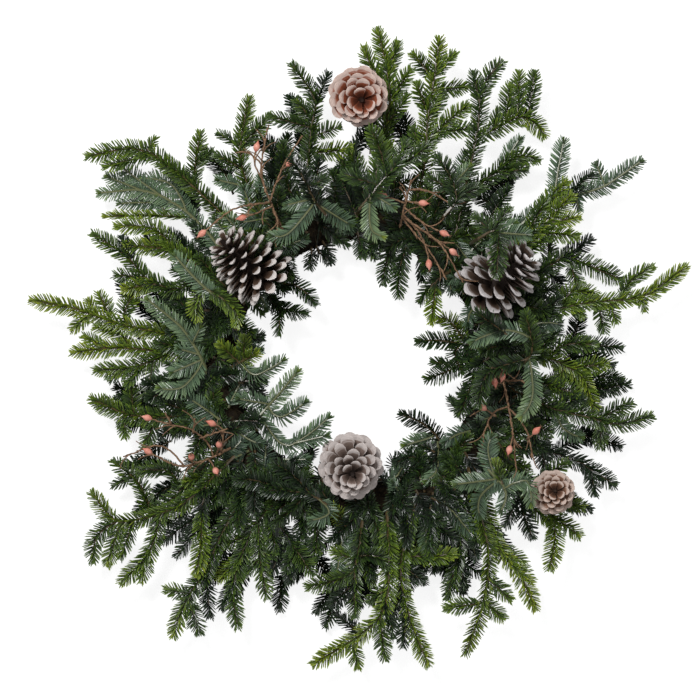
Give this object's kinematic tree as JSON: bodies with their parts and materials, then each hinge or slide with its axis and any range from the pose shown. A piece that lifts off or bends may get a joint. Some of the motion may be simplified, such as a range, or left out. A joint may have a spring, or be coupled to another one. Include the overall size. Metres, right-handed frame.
{
  "type": "fresh evergreen wreath",
  "caption": "Round evergreen wreath of fir sprays stuck in a bound moss ring, with frosted pine cones and dried twigs of hips.",
  "frame": {"origin": "centre of the bounding box in plan, on the plane that the wreath's back lies on", "axes": "+Z out of the wreath's face, away from the surface it lies on; +Y to the wreath's top as it hangs; +X to the right as seen from the front"},
  "size_m": [0.6056, 0.5878, 0.1176],
  "materials": {
    "fir_shoots": "matt, needled",
    "moss": "rough, fibrous",
    "frame_wire": "satin",
    "binding_wire": "satin",
    "pine_cone": "dry, frosted tips",
    "dried_twigs": "dry, matt"
  },
  "bodies": {
    "root": {"binding_wire": "binding_wire", "cone_foot": "pine_cone", "cone_foot_wire": "binding_wire", "cone_left": "pine_cone", "cone_left_wire": "binding_wire", "cone_right": "pine_cone", "cone_right_wire": "binding_wire", "cone_small": "pine_cone", "cone_small_wire": "binding_wire", "cone_top": "pine_cone", "cone_top_wire": "binding_wire", "moss_base": "moss", "spray_face_1": "fir_shoots", "spray_face_2": "fir_shoots", "spray_face_3": "fir_shoots", "spray_face_4": "fir_shoots", "spray_face_5": "fir_shoots", "spray_face_6": "fir_shoots", "spray_face_7": "fir_shoots", "spray_face_8": "fir_shoots", "spray_face_9": "fir_shoots", "spray_foot_1": "fir_shoots", "spray_foot_2": "fir_shoots", "spray_foot_3": "fir_shoots", "spray_foot_4": "fir_shoots", "spray_foot_5": "fir_shoots", "spray_foot_6": "fir_shoots", "spray_foot_7": "fir_shoots", "spray_foot_8": "fir_shoots", "spray_in_1": "fir_shoots", "spray_in_2": "fir_shoots", "spray_in_3": "fir_shoots", "spray_in_4": "fir_shoots", "spray_in_5": "fir_shoots", "spray_in_6": "fir_shoots", "spray_left_1": "fir_shoots", "spray_left_2": "fir_shoots", "spray_left_3": "fir_shoots", "spray_left_4": "fir_shoots", "spray_left_5": "fir_shoots", "spray_left_6": "fir_shoots", "spray_low_1": "fir_shoots", "spray_low_2": "fir_shoots", "spray_low_3": "fir_shoots", "spray_low_4": "fir_shoots", "spray_right_1": "fir_shoots", "spray_right_2": "fir_shoots", "spray_right_3": "fir_shoots", "spray_right_4": "fir_shoots", "spray_right_5": "fir_shoots", "spray_top_1": "fir_shoots", "spray_top_2": "fir_shoots", "spray_top_3": "fir_shoots", "spray_top_4": "fir_shoots", "spray_top_5": "fir_shoots", "twigs_foot": "dried_twigs", "twigs_left": "dried_twigs", "twigs_right": "dried_twigs", "twigs_top": "dried_twigs", "wire_frame": "frame_wire"}
  },
  "joints": []
}
